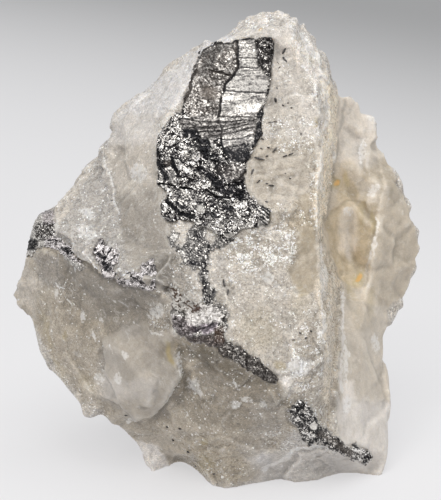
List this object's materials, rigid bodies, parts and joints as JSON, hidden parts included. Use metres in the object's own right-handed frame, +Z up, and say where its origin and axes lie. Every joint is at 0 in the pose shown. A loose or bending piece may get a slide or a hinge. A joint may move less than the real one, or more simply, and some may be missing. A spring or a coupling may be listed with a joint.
{
  "type": "wolframite on quartz specimen",
  "caption": "Loose block of milky vein quartz, pointed at the top, with dark silvery wolframite crystals set in its front; stands on a flat broken underside.",
  "frame": {"origin": "centre of the specimen's bounding box, on the flat underside that it stands on", "axes": "+Z up to the peak, -Y towards the front with the large wolframite crystal, +X to the right as seen from the front"},
  "size_m": [0.0736, 0.0498, 0.0794],
  "materials": {
    "quartz": "milky, sugary and translucent vein quartz with yellow-brown stains",
    "wolframite": "iron-black crystals with bright submetallic striated cleavage"
  },
  "bodies": {
    "root": {"quartz_matrix": "quartz", "wolframite_blade": "wolframite", "wolframite_stringer": "wolframite", "wolframite_knot": "wolframite", "wolframite_ridge_bar": "wolframite", "wolframite_corner_vein": "wolframite", "wolframite_left_vein": "wolframite", "wolframite_left_cluster": "wolframite", "wolframite_centre_seam": "wolframite"}
  },
  "joints": []
}
